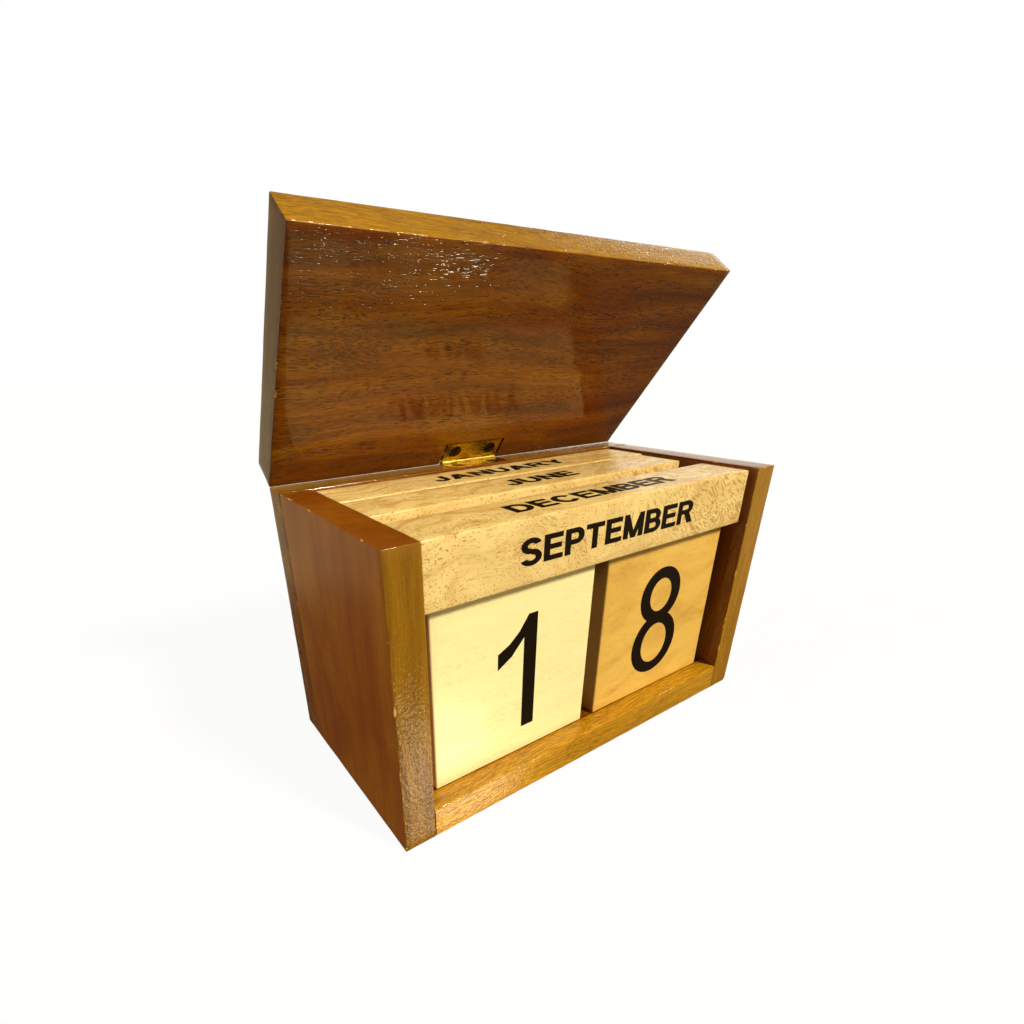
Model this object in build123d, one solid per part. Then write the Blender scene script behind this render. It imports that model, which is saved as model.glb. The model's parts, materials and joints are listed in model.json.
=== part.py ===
from build123d import *
import os

# A desk calendar of wood: an open-fronted box with a hinged lid holds two number cubes and three
# month bars, which are lifted or slid out, turned and put back.
# Frame: millimetres, +Z up, origin at the centre of the base, the open front faces -Y.

# Box and lid
BOX_WIDTH = 152.0
BOX_DEPTH = 75.0
BOX_HEIGHT = 87.5
BOARD = 10.0
EDGE_ROUND = 0.6
HINGE_EDGE_ROUND = 0.3
WORN_ROUND = 2.6
LID_GAP = 0.2
LID_ANGLE = 52.5

# Cubes and bars
CUBE = 58.6
CUBE_ROUND = 0.7
CUBE_LEFT_X = -32.5
CUBE_RIGHT_X = 31.8
CUBE_BACK_GAP = 0.3
BAR = 18.0
BAR_ROUND = 0.5
REST_GAP = 0.2
# name: (left end x, right end x, front face y)
BARS = {
    "month_bar_front": (-65.6, 62.9, -36.0),
    "month_bar_middle": (-65.6, 61.1, -10.4),
    "month_bar_rear": (-65.5, 63.4, 8.6),
}

# Hinge
HINGE_X = -1.3
HINGE_LENGTH = 24.0
HINGE_OUTSIDE = 0.05
LEAF_WIDTH = 9.05
LEAF_THICK = 1.0
KNUCKLES = 4
KNUCKLE_RADIUS = 1.5
KNUCKLE_GAP = 0.2
PIN_RADIUS = 0.75
PIN_CLEARANCE = 0.05
MORTISE_GAP = 0.4
MORTISE_END_GAP = 1.1
BARREL_GAP = 0.4
LEAF_GAP = 0.3

# Hinge screws
SCREW_SPACING = 15.4
SCREW_FROM_PIN = 5.3
SCREW_HEAD_RADIUS = 2.5
SCREW_HEAD_DEPTH = 1.4
SCREW_LENGTH = 8.0
THREAD_RADIUS = 1.1
CORE_RADIUS = 0.8
THREAD_TURNS = 6
SLOT_WIDTH = 0.8
SLOT_DEPTH = 0.6
SCREW_CLEARANCE = 0.03

# Dowels that hold the glued butt joints
DOWEL_RADIUS = 2.0
DOWEL_LENGTH = 16.0
DOWEL_IN_FACE = 6.0
DOWEL_CHAMFER = 0.5
DOWEL_CLEARANCE = 0.05
DOWEL_END_GAP = 0.5
SIDE_BOTTOM_DOWELS_Y = (-26.0, -6.0, 12.0)
SIDE_BACK_DOWELS_Z = (20.0, 45.0, 70.0)
BOTTOM_BACK_DOWELS_X = (-42.0, 0.0, 42.0)

HALF_WIDTH = BOX_WIDTH / 2
HALF_DEPTH = BOX_DEPTH / 2
INNER_X = HALF_WIDTH - BOARD
INNER_Y = HALF_DEPTH - BOARD
PIN_Y = HALF_DEPTH + HINGE_OUTSIDE
PIN_Z = BOX_HEIGHT + LID_GAP / 2
LID_BOTTOM = BOX_HEIGHT + LID_GAP
LID_TOP = LID_BOTTOM + BOARD
HINGE_AXIS = Axis((0, PIN_Y, PIN_Z), (-1, 0, 0))
SMALL = 1e-4


def block(low, high):
    """A box between two corners."""
    size = Vector(*high) - Vector(*low)
    centre = (Vector(*high) + Vector(*low)) * 0.5
    return Pos(*centre) * Box(size.X, size.Y, size.Z)


def edges_along(solid, axis, **place):
    """Edges parallel to axis whose middle lies at the coordinates given by name, such as X=76."""
    return [
        edge
        for edge in solid.edges().filter_by(axis)
        if all(abs(getattr(edge.center(), k) - v) < SMALL for k, v in place.items())
    ]


def rod(start, direction, length, radius):
    """A round rod from start along direction."""
    plane = Plane(origin=start, z_dir=direction)
    return plane * Cylinder(radius, length, align=(Align.CENTER, Align.CENTER, Align.MIN))


# ---- dowels ----


def dowel_places():
    """Group name: list of (point on the joint, direction into the face-drilled board)."""
    mid = BOARD / 2
    side_x = HALF_WIDTH - BOARD / 2
    places = {}
    for side, sign in (("left", -1), ("right", 1)):
        places[f"{side}_bottom_dowels"] = [
            ((sign * INNER_X, y, mid), (sign, 0, 0)) for y in SIDE_BOTTOM_DOWELS_Y
        ]
        places[f"{side}_back_dowels"] = [
            ((sign * side_x, INNER_Y, z), (0, 1, 0)) for z in SIDE_BACK_DOWELS_Z
        ]
    places["bottom_back_dowels"] = [((x, INNER_Y, mid), (0, 1, 0)) for x in BOTTOM_BACK_DOWELS_X]
    return places


def dowel(point, direction):
    start = Vector(*point) - Vector(*direction) * (DOWEL_LENGTH - DOWEL_IN_FACE)
    peg = rod(start, direction, DOWEL_LENGTH, DOWEL_RADIUS)
    return chamfer(peg.edges().filter_by(GeomType.CIRCLE), DOWEL_CHAMFER)


def dowel_holes(names):
    """The drilled space of the named dowel groups."""
    holes = []
    for name in names:
        for point, direction in dowel_places()[name]:
            back = DOWEL_LENGTH - DOWEL_IN_FACE + DOWEL_END_GAP
            start = Vector(*point) - Vector(*direction) * back
            length = DOWEL_LENGTH + 2 * DOWEL_END_GAP
            holes.append(rod(start, direction, length, DOWEL_RADIUS + DOWEL_CLEARANCE))
    return holes


# ---- hinge, drawn closed ----


def knuckle_spans(of_lid):
    """Start and end x of each knuckle that belongs to one leaf; they take turns along the pin."""
    pitch = HINGE_LENGTH / KNUCKLES
    start = HINGE_X - HINGE_LENGTH / 2
    first = 0 if of_lid else 1
    return [
        (start + n * pitch + KNUCKLE_GAP / 2, start + (n + 1) * pitch - KNUCKLE_GAP / 2)
        for n in range(first, KNUCKLES, 2)
    ]


def along_pin(span, radius, spare=0.0):
    """A rod on the hinge axis over a span of x."""
    length = span[1] - span[0] + 2 * spare
    return rod((span[0] - spare, PIN_Y, PIN_Z), (1, 0, 0), length, radius)


def screw_places():
    return [HINGE_X - SCREW_SPACING / 2, HINGE_X + SCREW_SPACING / 2]


def screw_profile(spare=0.0):
    """Half outline of a countersunk wood screw, head up at the origin, grown by spare."""
    head = SCREW_HEAD_RADIUS + spare
    neck = THREAD_RADIUS + spare
    thread_end = -SCREW_LENGTH + THREAD_RADIUS * 2
    points = [(0, 0), (head, 0), (neck, -SCREW_HEAD_DEPTH)]
    if spare:
        points += [(neck, thread_end), (0, -SCREW_LENGTH - spare)]
        return points
    start = -SCREW_HEAD_DEPTH - THREAD_RADIUS
    pitch = (start - thread_end) / THREAD_TURNS
    for turn in range(THREAD_TURNS):
        z = start - turn * pitch
        points += [(CORE_RADIUS, z), (THREAD_RADIUS, z - pitch / 2), (CORE_RADIUS, z - pitch)]
    unique = list(dict.fromkeys((round(x, 6), round(z, 6)) for x, z in points))
    return unique + [(0, -SCREW_LENGTH)]


def turned(points):
    """A solid of revolution about Z from a half outline in X and Z."""
    outline = Polyline(*[(x, 0, z) for x, z in points], close=True)
    return revolve(make_face(outline), Axis.Z)


def screw(slot_turn):
    body = turned(screw_profile())
    slot = Box(SCREW_HEAD_RADIUS * 3, SLOT_WIDTH, SLOT_DEPTH * 2)
    return body - Rot(0, 0, slot_turn) * slot


def screw_frames(in_lid):
    """Where each screw's head face lies, with the screw's point away from the pin's plane."""
    y = PIN_Y - SCREW_FROM_PIN
    if in_lid:
        return [Pos(x, y, LID_BOTTOM) * Rot(180, 0, 0) for x in screw_places()]
    return [Pos(x, y, BOX_HEIGHT) for x in screw_places()]


def screw_spaces(in_lid):
    space = turned(screw_profile(SCREW_CLEARANCE))
    return [frame * space for frame in screw_frames(in_lid)]


def leaf(of_lid):
    """One hinge leaf with its knuckles and two countersunk holes."""
    low_z = LID_BOTTOM if of_lid else BOX_HEIGHT - LEAF_THICK
    half = HINGE_LENGTH / 2
    solid = block(
        (HINGE_X - half, PIN_Y - LEAF_WIDTH, low_z),
        (HINGE_X + half, PIN_Y, low_z + LEAF_THICK),
    )
    for span in knuckle_spans(not of_lid):
        solid -= along_pin(span, KNUCKLE_RADIUS + LEAF_GAP, KNUCKLE_GAP)
    for span in knuckle_spans(of_lid):
        solid += along_pin(span, KNUCKLE_RADIUS)
    whole = (HINGE_X - half, HINGE_X + half)
    solid -= along_pin(whole, PIN_RADIUS + PIN_CLEARANCE, 1)
    for space in screw_spaces(of_lid):
        solid -= space
    return solid


def hinge_pin():
    half = HINGE_LENGTH / 2
    pin = along_pin((HINGE_X - half, HINGE_X + half), PIN_RADIUS)
    return chamfer(pin.edges().filter_by(GeomType.CIRCLE), 0.2)


def hinge_cuts(of_lid):
    """What the hinge needs taken out of a board: mortise, barrel relief and screw holes."""
    low_z = LID_BOTTOM if of_lid else BOX_HEIGHT - LEAF_THICK
    half = HINGE_LENGTH / 2 + MORTISE_END_GAP
    mortise = block(
        (HINGE_X - half, PIN_Y - LEAF_WIDTH - MORTISE_GAP, low_z),
        (HINGE_X + half, PIN_Y + 1, low_z + LEAF_THICK),
    )
    relief = along_pin((HINGE_X - half, HINGE_X + half), KNUCKLE_RADIUS + BARREL_GAP)
    return [mortise, relief] + screw_spaces(of_lid)


# ---- boards ----


def bottom_panel():
    board = block((-INNER_X, -HALF_DEPTH, 0), (INNER_X, INNER_Y, BOARD))
    for z in (0, BOARD):
        board = fillet(edges_along(board, Axis.X, Y=-HALF_DEPTH, Z=z), EDGE_ROUND)
    groups = ["left_bottom_dowels", "right_bottom_dowels", "bottom_back_dowels"]
    return board - dowel_holes(groups)


def side_panel(side):
    sign = -1 if side == "left" else 1
    xs = sorted((sign * INNER_X, sign * HALF_WIDTH))
    board = block((xs[0], -HALF_DEPTH, 0), (xs[1], INNER_Y, BOX_HEIGHT))
    outer, inner = sign * HALF_WIDTH, sign * INNER_X
    worn = edges_along(board, Axis.Y, X=outer, Z=0)
    board = fillet(worn, WORN_ROUND if side == "right" else EDGE_ROUND)
    rounded = edges_along(board, Axis.Y, X=outer, Z=BOX_HEIGHT)
    rounded += edges_along(board, Axis.Y, X=inner, Z=BOX_HEIGHT)
    rounded += edges_along(board, Axis.X, Y=-HALF_DEPTH, Z=BOX_HEIGHT)
    rounded += edges_along(board, Axis.Z, X=inner, Y=-HALF_DEPTH)
    rounded += edges_along(board, Axis.Z, X=outer, Y=-HALF_DEPTH)
    board = fillet(rounded, EDGE_ROUND)
    return board - dowel_holes([f"{side}_bottom_dowels", f"{side}_back_dowels"])


def back_panel():
    board = block((-HALF_WIDTH, INNER_Y, 0), (HALF_WIDTH, HALF_DEPTH, BOX_HEIGHT))
    board = fillet(edges_along(board, Axis.X, Y=HALF_DEPTH, Z=BOX_HEIGHT), HINGE_EDGE_ROUND)
    rounded = edges_along(board, Axis.X, Y=HALF_DEPTH, Z=0)
    for x in (-HALF_WIDTH, HALF_WIDTH):
        rounded += edges_along(board, Axis.Z, X=x, Y=HALF_DEPTH)
        rounded += edges_along(board, Axis.Y, X=x)
    board = fillet(rounded, EDGE_ROUND)
    board -= dowel_holes(["left_back_dowels", "right_back_dowels", "bottom_back_dowels"])
    return board - hinge_cuts(of_lid=False)


def lid_panel():
    board = block(
        (-HALF_WIDTH, -HALF_DEPTH, LID_BOTTOM),
        (HALF_WIDTH, HALF_DEPTH, LID_TOP),
    )
    hinge_edge = edges_along(board, Axis.X, Y=HALF_DEPTH, Z=LID_BOTTOM)
    board = fillet(hinge_edge, HINGE_EDGE_ROUND)
    rounded = []
    for x in (-HALF_WIDTH, HALF_WIDTH):
        rounded += edges_along(board, Axis.Y, X=x)
        rounded += edges_along(board, Axis.Z, X=x)
    for y, z in ((-HALF_DEPTH, LID_BOTTOM), (-HALF_DEPTH, LID_TOP), (HALF_DEPTH, LID_TOP)):
        rounded += edges_along(board, Axis.X, Y=y, Z=z)
    return fillet(rounded, EDGE_ROUND) - hinge_cuts(of_lid=True)


def opened(solid):
    """Turns a lid piece from closed to its rest place."""
    return solid.rotate(HINGE_AXIS, LID_ANGLE)


# ---- loose pieces ----


def number_cube(x):
    low_z = BOARD + REST_GAP
    back = INNER_Y - CUBE_BACK_GAP
    cube = block(
        (x - CUBE / 2, back - CUBE, low_z),
        (x + CUBE / 2, back, low_z + CUBE),
    )
    return fillet(cube.edges(), CUBE_ROUND)


def month_bar(left, right, front):
    low_z = BOARD + CUBE + 2 * REST_GAP
    bar = block((left, front, low_z), (right, front + BAR, low_z + BAR))
    return fillet(bar.edges(), BAR_ROUND)


def parts():
    """Every node's name and solids."""
    nodes = {
        "bottom_panel": bottom_panel(),
        "left_side_panel": side_panel("left"),
        "right_side_panel": side_panel("right"),
        "back_panel": back_panel(),
        "lid_panel": opened(lid_panel()),
        "hinge_leaf_box": leaf(of_lid=False),
        "hinge_leaf_lid": opened(leaf(of_lid=True)),
        "hinge_pin": hinge_pin(),
        "number_cube_left": number_cube(CUBE_LEFT_X),
        "number_cube_right": number_cube(CUBE_RIGHT_X),
    }
    for name, (left, right, front) in BARS.items():
        nodes[name] = month_bar(left, right, front)
    slot_turns = {"box": (20, -65), "lid": (80, 35)}
    for where, turns in slot_turns.items():
        frames = screw_frames(in_lid=where == "lid")
        for side, frame, turn in zip(("left", "right"), frames, turns):
            solid = frame * screw(turn)
            name = f"{where}_leaf_screw_{side}"
            nodes[name] = opened(solid) if where == "lid" else solid
    for name, places in dowel_places().items():
        nodes[name] = Compound(children=[dowel(*place) for place in places])
    return nodes


os.makedirs("parts", exist_ok=True)
for name, solid in parts().items():
    export_step(solid, f"parts/{name}.step")
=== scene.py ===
"""Finishes of a wooden desk calendar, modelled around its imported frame.

A stained box with a hinged lid holds two number cubes and three month bars. Each operator below
makes one piece or one group of like pieces in place, and the stage operator sets floor, lights
and camera. Everything is in metres, in the frame's own axes: +Z up, the open front faces -Y.
"""

import json
import math

import bmesh
import bpy
from mathutils import Matrix, Vector


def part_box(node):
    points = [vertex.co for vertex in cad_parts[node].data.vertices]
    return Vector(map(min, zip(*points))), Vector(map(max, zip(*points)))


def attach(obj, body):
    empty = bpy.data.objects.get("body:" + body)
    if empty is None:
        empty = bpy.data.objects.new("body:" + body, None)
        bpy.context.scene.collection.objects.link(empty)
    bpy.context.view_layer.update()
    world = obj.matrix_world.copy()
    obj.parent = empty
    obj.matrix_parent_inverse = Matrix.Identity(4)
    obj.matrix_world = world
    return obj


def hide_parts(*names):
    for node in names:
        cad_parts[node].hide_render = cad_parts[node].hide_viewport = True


bl_info = {
    "name": "Wooden Desk Calendar",
    "version": (1, 0, 0),
    "blender": (4, 5, 0),
    "location": "3D View > Sidebar > Calendar",
    "description": "Models a stained desk box, its number cubes, month bars, hinge and stage",
    "category": "Object",
}

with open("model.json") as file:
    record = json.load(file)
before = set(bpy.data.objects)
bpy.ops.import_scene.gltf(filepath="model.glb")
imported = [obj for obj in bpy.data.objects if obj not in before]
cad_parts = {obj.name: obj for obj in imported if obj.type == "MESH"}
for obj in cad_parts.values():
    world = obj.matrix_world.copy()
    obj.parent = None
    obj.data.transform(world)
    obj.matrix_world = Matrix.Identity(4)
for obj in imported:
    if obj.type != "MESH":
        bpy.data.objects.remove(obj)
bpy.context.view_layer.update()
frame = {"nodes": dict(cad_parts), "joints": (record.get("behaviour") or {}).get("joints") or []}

MM = 0.001
BOX_BOARDS = ("bottom_panel", "left_side_panel", "right_side_panel", "back_panel")
CUBES = ("number_cube_left", "number_cube_right")
BARS = ("month_bar_front", "month_bar_middle", "month_bar_rear")
HINGE_JOINT = next(j for j in frame["joints"] if j["name"] == "lid_hinge")
HINGE_POINT = Vector(HINGE_JOINT["pos_m"])
LID_ANGLE = -math.radians(HINGE_JOINT["range_deg"][0])

# Faces of each box board that are glued to another board.
GLUED = {
    "bottom_panel": ("-X", "+X", "+Y"),
    "left_side_panel": ("+Y",),
    "right_side_panel": ("+Y",),
    "back_panel": (),
}
WOOD_SLOTS = {"number_cube_left": "cube_wood_light", "number_cube_right": "cube_wood_amber"}
WOOD_SLOTS.update({name: "bar_wood" for name in BARS})
# Which way each board's long grain runs.
GRAIN = {"bottom_panel": "X", "left_side_panel": "Z", "right_side_panel": "Z", "back_panel": "X"}


# ---- settings a user would change ----


def length(name, description, default, top=0.02):
    """A length property in metres with a plain name."""
    return bpy.props.FloatProperty(
        name=name, description=description, default=default, min=0.0, max=top,
        subtype="DISTANCE", unit="LENGTH", precision=5,
    )


def strength(name, description, default, **more):
    """How much light something gives, from nought up."""
    return bpy.props.FloatProperty(
        name=name, description=description, default=default, min=0.0, **more
    )


def colour(name, description, default):
    """A colour written as an sRGB hex value."""
    return bpy.props.StringProperty(name=name, description=description, default=default)


class CalendarSizes(bpy.types.PropertyGroup):
    board_round: length("Board edge", "Rounding of the box's sanded edges", 0.4 * MM)
    worn_round: length("Worn edge", "Rounding of the right board's worn foot", 2.4 * MM)
    hinge_round: length("Hinge edge", "Rounding where the lid meets the back board", 0.02 * MM)
    hinge_reach: length("Hinge fit", "How far lid and back board reach to meet", 0.097 * MM)
    joint_round: length("Joint edge", "Tiny rounding where two boards butt", 0.18 * MM)
    cube_round: length("Cube edge", "Rounding of the cubes' edges", 0.7 * MM)
    bar_round: length("Bar edge", "Rounding of the bars' edges", 0.5 * MM)
    mesh_step: length("Mesh step", "Spacing of the cuts that let a board's face waver", 3.2 * MM)
    waver: length("Waver", "How far a hand-sanded edge wanders", 0.16 * MM)
    print_height: length("Print height", "How far printed ink stands proud", 0.04 * MM)
    month_height: length("Month height", "Capital height of the month names", 7.2 * MM)
    digit_height: length("Digit height", "Height of the numbers", 38.4 * MM, 0.1)


class CalendarColours(bpy.types.PropertyGroup):
    stain_dark: colour("Stain dark", "Late wood under the stain", "#653004")
    stain_mid: colour("Stain middle", "Most of the stained wood", "#904F05")
    stain_light: colour("Stain light", "Early wood under the stain", "#A96B0C")
    stain_pore: colour("Stain pore", "Open pores filled with stain", "#3A1802")
    gold_dark: colour("Gold dark", "Late wood on a sawn edge", "#6A4604")
    gold_mid: colour("Gold middle", "Early wood on a sawn edge", "#966B0C")
    gold_light: colour("Gold light", "A sawn edge that kept least stain", "#D8A01C")
    bare_wood: colour("Bare wood", "Where an edge has lost its stain", "#E2B870")
    cube_pale: colour("Pale cube", "The pale yellow cube", "#FDF2BE")
    cube_amber: colour("Amber cube", "The amber cube", "#E8BE62")
    bar_cream: colour("Bar", "The cream month bars", "#F2D898")
    ink: colour("Ink", "Printed letters and numbers", "#160E07")
    brass: colour("Brass", "The hinge", "#E6C65A")
    screw: colour("Screw", "The bronzed screws", "#4A3A28")
    floor: colour("Floor", "The plain floor", "#FAFAFA")


class CalendarStage(bpy.types.PropertyGroup):
    lens: bpy.props.FloatProperty(
        name="Lens", description="Focal length on a 36 mm sensor", default=18.907,
        min=5.0, max=200.0, subtype="DISTANCE_CAMERA",
    )
    camera_place: bpy.props.FloatVectorProperty(
        name="Camera place", description="Where the camera stands",
        default=(-0.1214, -0.1338, 0.1225), subtype="XYZ", unit="LENGTH",
    )
    camera_turn: bpy.props.FloatVectorProperty(
        name="Camera turn", description="Azimuth, elevation and roll of the view",
        default=(math.radians(34.08), math.radians(26.47), math.radians(-1.02)),
        subtype="EULER", unit="ROTATION",
    )
    shift: bpy.props.FloatVectorProperty(
        name="Shift", description="Lens shift, as fractions of the picture", size=2,
        default=(0.0494, 0.1104),
    )
    key_strength: strength("Key light", "Strength of the warm light in front", 4.1)
    side_strength: strength("Side light", "Strength of the light on the left", 1.9)
    walls: strength("Walls", "Brightness of the room around the table", 0.35)
    ceiling: strength("Ceiling", "Brightness of the room overhead", 0.15)
    window: strength("Rear window", "Brightness of the window behind", 1.4)
    under: strength("Below", "Brightness under the table", 0.04)
    card_power: strength("Low card", "Power of the low card in front", 0.01, unit="POWER")
    floor_body: strength(
        "Floor body", "How much of the table stops light", 0.06, max=1.0, subtype="FACTOR"
    )


def sizes():
    return bpy.context.scene.calendar_sizes


def colours():
    return bpy.context.scene.calendar_colours


# ---- material helpers ----


def linear(code):
    """An sRGB hex colour as linear red, green, blue and alpha."""
    values = [int(code[i : i + 2], 16) / 255 for i in (1, 3, 5)]
    curve = [v / 12.92 if v <= 0.04045 else ((v + 0.055) / 1.055) ** 2.4 for v in values]
    return (*curve, 1.0)


def tinted(shade, red, green, blue):
    """A linear colour with each of its parts scaled."""
    return (shade[0] * red, shade[1] * green, shade[2] * blue, 1.0)


def add(tree, kind, inputs=None, stops=None, **settings):
    """Adds a node, sets its properties and ramp stops, and sets or links its inputs.

    kind is the node's type without its ShaderNode.
    """
    node = tree.nodes.new(f"ShaderNode{kind}")
    for key, value in settings.items():
        setattr(node, key, value)
    for index, (place, shade) in enumerate(stops or ()):
        elements = node.color_ramp.elements
        element = elements[index] if index < 2 else elements.new(place)
        element.position = place
        element.color = shade
    for key, value in (inputs or {}).items():
        if isinstance(value, bpy.types.NodeSocket):
            tree.links.new(value, node.inputs[key])
        else:
            node.inputs[key].default_value = value
    return node


def new_material(name):
    """A node material with nothing in it, and its tree."""
    material = bpy.data.materials.new(name)
    material.use_nodes = True
    material.node_tree.nodes.clear()
    return material, material.node_tree


def finished(material, kind, surface):
    """Gives a material its shader and its output, and returns it."""
    shader = add(material.node_tree, kind, surface).outputs[0]
    add(material.node_tree, "OutputMaterial", {"Surface": shader})
    return material


def layered(tree, shade, *layers):
    """A shade with others laid over it in order, each with the mask that shows it."""
    for mask, over in layers:
        parts = {0: mask, 6: shade, 7: over}
        shade = add(tree, "Mix", parts, data_type="RGBA").outputs[2]
    return shade


def grain_coordinates(tree, grain, tilt=0.0, offset=(0, 0, 0)):
    """Object coordinates turned so that +X runs along the grain."""
    turn = {"X": (0, 0, 0), "Y": (0, 0, -math.pi / 2), "Z": (0, math.pi / 2, 0)}[grain]
    place = add(tree, "TexCoord").outputs["Object"]
    if tilt:
        level = {"Vector": place, "Rotation": (tilt, 0, 0)}
        place = add(tree, "Mapping", level).outputs[0]
    inputs = {"Vector": place, "Rotation": turn, "Location": offset}
    return add(tree, "Mapping", inputs).outputs[0]


def wandering(tree, place, size, reach):
    """Bends a wood's coordinates sideways by up to reach, over distances of about size."""
    bend = {"Vector": place, "Scale": 1 / size, "Detail": 1.0}
    noise = add(tree, "TexNoise", bend).outputs["Color"]
    half = {0: noise, 1: (0.5, 0.5, 0.5)}
    centred = add(tree, "VectorMath", half, operation="SUBTRACT").outputs[0]
    aside = {0: centred, 1: (reach * 0.2, reach, reach)}
    moved = add(tree, "VectorMath", aside, operation="MULTIPLY").outputs[0]
    return add(tree, "VectorMath", {0: place, 1: moved}, operation="ADD").outputs[0]


def streaks(tree, place, along, across, detail=2.0, warp=0.0, roughness=0.5):
    """Wood figure drawn out along the grain; along and across are its sizes in metres."""
    scale = (1 / along, 1 / across, 1 / across)
    stretched = add(tree, "Mapping", {"Vector": place, "Scale": scale}).outputs[0]
    inputs = {"Vector": stretched, "Scale": 1.0, "Detail": detail, "Distortion": warp}
    inputs["Roughness"] = roughness
    return add(tree, "TexNoise", inputs).outputs["Fac"]


def lacquered(material, place, shade, relief, roughness, gloss, peel, coat, rough_spots=1.0):
    """Clear lacquer over wood: soft dimples of orange peel about a millimetre across.

    relief is the wood's own height and its depth, peel the dimples' depth, both in metres, and
    rough_spots says how much of the peel shows where.
    """
    tree = material.node_tree
    dent = {"Height": relief[0], "Distance": relief[1]}
    grain_bump = add(tree, "Bump", dent).outputs["Normal"]
    dimples = streaks(tree, place, 1.1 * MM, 0.9 * MM, 2.0)
    bump = {"Height": dimples, "Distance": peel, "Strength": rough_spots, "Normal": grain_bump}
    skin = add(tree, "Bump", bump).outputs["Normal"]
    surface = {
        "Base Color": shade, "Roughness": roughness, "Normal": grain_bump, "IOR": 1.45,
        "Specular IOR Level": 0.05, "Coat Weight": coat, "Coat Roughness": gloss,
        "Coat IOR": 1.6, "Coat Normal": skin,
    }
    return finished(material, "BsdfPrincipled", surface)


# ---- materials ----


def squareness(tree, axis):
    """One on the faces that look along an axis, nought on those beside it."""
    facing = add(tree, "Attribute", attribute_name="facing").outputs["Vector"]
    facing = add(tree, "SeparateXYZ", {0: facing}).outputs[axis]
    return add(tree, "Math", {0: facing}, operation="ABSOLUTE").outputs[0]


def stained_hardwood(name, grain, tilt, offset, figured, pores, coat, gold, end_grain):
    """Open-pored tropical hardwood, wiped with brown stain and sprayed with gloss lacquer.

    Low straight figure about 5 mm wide, red-brown clouds, short dark pores about 3 mm long,
    and a clear coat that mirrors its surroundings. figured and pores say how strongly those
    show. The sawn front edges took less stain and have a rougher coat: gold says how far they
    go from old gold to pale gold. The board's ends drank more of it, by end_grain.
    """
    tint = colours()
    material, tree = new_material(name)
    place = wandering(tree, grain_coordinates(tree, grain, tilt, offset), 60 * MM, 12 * MM)
    figure = streaks(tree, place, 110 * MM, 5.5 * MM, 5.0, 0.2, 0.55)
    dark, middle, light = (linear(c) for c in (tint.stain_dark, tint.stain_mid, tint.stain_light))
    stops = [(0.3, dark), (0.7, light), (0.5, middle)]
    bands = add(tree, "ValToRGB", {"Fac": figure}, stops).outputs[0]
    edge_stops = [(0.34, linear(tint.gold_dark)), (0.6, linear(tint.gold_mid))]
    edges = add(tree, "ValToRGB", {"Fac": figure}, edge_stops).outputs[0]
    edges = layered(tree, edges, (gold, linear(tint.gold_light)))
    sawn = add(tree, "Attribute", attribute_name="sawn").outputs["Fac"]
    shade = layered(tree, middle, (figured, bands), (sawn, edges))
    cloud = streaks(tree, place, 38 * MM, 24 * MM, 2.0, 0.4)
    stops = [(0.34, (0.8, 0.66, 0.5, 1.0)), (0.62, (1.08, 1.25, 1.1, 1.0))]
    cloud = add(tree, "ValToRGB", {"Fac": cloud}, stops).outputs[0]
    clouded = add(tree, "MapRange", {0: sawn, 3: 1.0, 4: 0.15}).outputs[0]
    washed = {0: clouded, 6: shade, 7: cloud}
    shade = add(tree, "Mix", washed, data_type="RGBA", blend_type="MULTIPLY").outputs[2]
    fibre = streaks(tree, place, 16 * MM, 0.5 * MM, 3.0)
    span = {0: fibre, 1: 0.35, 2: 0.7, 3: 0.0, 4: 0.15 + 0.4 * figured}
    fibre_dark = add(tree, "MapRange", span).outputs[0]
    pore = open_pores(tree, place, 3.2 * MM, 0.26 * MM, 0.54)
    shown = add(tree, "MapRange", {0: sawn, 3: pores, 4: 0.4 * pores}).outputs[0]
    depth = add(tree, "Math", {0: pore, 1: shown}, operation="MULTIPLY").outputs[0]
    ends = {0: squareness(tree, grain), 1: 0.5, 4: end_grain}
    ends = add(tree, "MapRange", ends).outputs[0]
    filled, worn = linear(tint.stain_pore), worn_edges(tree, place)
    shade = layered(
        tree, shade, (fibre_dark, dark), (depth, filled), (ends, filled),
        (worn, linear(tint.bare_wood)),
    )
    hollow = add(tree, "Math", {0: fibre, 1: pore}, operation="SUBTRACT").outputs[0]
    relief = (hollow, 0.035 * MM)
    rough_spots = add(tree, "MapRange", {0: sawn, 3: 0.05, 4: 1.0}).outputs[0]
    return lacquered(material, place, shade, relief, 0.55, 0.06, 0.24 * MM, coat, rough_spots)


def open_pores(tree, place, along, across, level):
    """Short dashes of open grain, thicker in some patches than in others."""
    pore = streaks(tree, place, along, across, 2.0, 0.15)
    patch = {0: streaks(tree, place, 34 * MM, 6 * MM, 2.0), 1: 0.35, 2: 0.7, 3: -0.06, 4: 0.06}
    patch = add(tree, "MapRange", patch).outputs[0]
    pore = add(tree, "Math", {0: pore, 1: patch}, operation="ADD").outputs[0]
    span = {0: pore, 1: level, 2: level + 0.07}
    return add(tree, "MapRange", span, interpolation_type="SMOOTHSTEP").outputs[0]


def worn_edges(tree, place):
    """Where stain has rubbed off in broken lines; 'edge' holds millimetres to an edge."""
    distance = add(tree, "Attribute", attribute_name="edge").outputs["Fac"]
    rub = streaks(tree, place, 7 * MM, 5 * MM, 3.0, 0.0, 0.7)
    reach = add(tree, "MapRange", {0: rub, 1: 0.53, 2: 0.73, 3: -0.1, 4: 0.8}).outputs[0]
    worn = add(tree, "Math", {0: reach, 1: distance}, operation="SUBTRACT").outputs[0]
    return add(tree, "MapRange", {0: worn, 1: 0.0, 2: 0.22, 4: 0.85}).outputs[0]


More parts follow.
